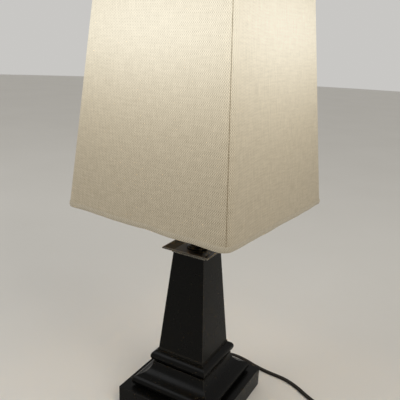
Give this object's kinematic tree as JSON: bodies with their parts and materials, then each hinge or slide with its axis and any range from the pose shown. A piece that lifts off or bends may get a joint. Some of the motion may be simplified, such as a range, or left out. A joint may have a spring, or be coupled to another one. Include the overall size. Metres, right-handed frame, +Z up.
{
  "type": "table lamp",
  "caption": "Square column table lamp: stepped dark bronze foot, tapered column with a tray, and a tall square tapered fabric shade on a harp, with cord and plug.",
  "frame": {"origin": "middle of the underside of the foot, on the table", "axes": "+Z up along the column; -Y is the front face of the foot; the cord leaves at the back, +Y"},
  "size_m": [0.3648, 0.2768, 0.7247],
  "materials": {
    "felt": "black wool felt",
    "zinc_steel": "zinc plated steel",
    "dark_bronze": "satin dark bronze",
    "iron": "raw cast iron",
    "antique_brass": "aged brass",
    "brass": "polished brass",
    "card": "grey-brown card tube",
    "moulded_black": "black moulded resin",
    "dark_vinyl": "dark brown vinyl",
    "bulb_aluminium": "bare aluminium",
    "frosted_glass": "frosted glass, lit from inside",
    "shade_fabric": "off-white linen weave on a stiff lining"
  },
  "bodies": {
    "stand": {"felt_pad": "felt", "base_cover": "zinc_steel", "cover_screws": "zinc_steel", "plinth": "dark_bronze", "weight": "iron", "base_moulding": "dark_bronze", "column_base_ring": "dark_bronze", "column": "dark_bronze", "tray": "dark_bronze", "rod_washer": "zinc_steel", "rod_nut": "zinc_steel", "threaded_rod": "zinc_steel", "neck": "dark_bronze", "harp_saddle": "antique_brass", "socket_cap": "brass", "socket_set_screw": "zinc_steel", "socket_shell": "brass", "socket_liner": "card", "socket_insert": "moulded_black", "screw_shell": "brass", "centre_contact": "brass", "terminal_screws": "zinc_steel", "leads": "dark_vinyl", "cord_bushing": "dark_vinyl", "cord_run": "dark_vinyl", "cord_coil": "dark_vinyl", "cord_tail": "dark_vinyl", "plug_body": "dark_vinyl", "plug_blades": "brass"},
    "switch": {"switch_shaft": "brass", "switch_knob": "moulded_black"},
    "bulb": {"bulb_contact": "brass", "bulb_cap": "bulb_aluminium", "bulb_glass": "frosted_glass"},
    "harp": {"harp_wire": "antique_brass", "harp_stud": "antique_brass"},
    "ferrule_left": {"ferrule_left": "antique_brass"},
    "ferrule_right": {"ferrule_right": "antique_brass"},
    "shade": {"shade_cover": "shade_fabric", "trim_bottom": "shade_fabric", "trim_top": "shade_fabric", "ring_bottom": "zinc_steel", "ring_top": "zinc_steel", "corner_ribs": "zinc_steel", "spider_washer": "zinc_steel", "spider_arms": "zinc_steel"},
    "finial": {"finial": "dark_bronze"}
  },
  "joints": [
    {"name": "switch_turn", "type": "hinge", "parent": "stand", "child": "switch", "pos_m": [0, -0.02, 0.4646], "axis": [0, -1, 0], "continuous": true},
    {"name": "bulb_turn", "type": "hinge", "parent": "stand", "child": "bulb", "pos_m": [0, 0, 0.5], "axis": [0, 0, 1], "continuous": true},
    {"name": "harp_lift", "type": "slide", "parent": "stand", "child": "harp", "axis": [0, 0, 1], "range_m": [0, 0.26]},
    {"name": "ferrule_left_slide", "type": "slide", "parent": "harp", "child": "ferrule_left", "axis": [0, 0, 1], "range_m": [0, 0.01]},
    {"name": "ferrule_right_slide", "type": "slide", "parent": "harp", "child": "ferrule_right", "axis": [0, 0, 1], "range_m": [0, 0.01]},
    {"name": "shade_turn", "type": "hinge", "parent": "harp", "child": "shade", "pos_m": [0, 0, 0.6916], "axis": [0, 0, 1], "continuous": true},
    {"name": "finial_turn", "type": "hinge", "parent": "harp", "child": "finial", "pos_m": [0, 0, 0.6916], "axis": [0, 0, 1], "continuous": true}
  ]
}
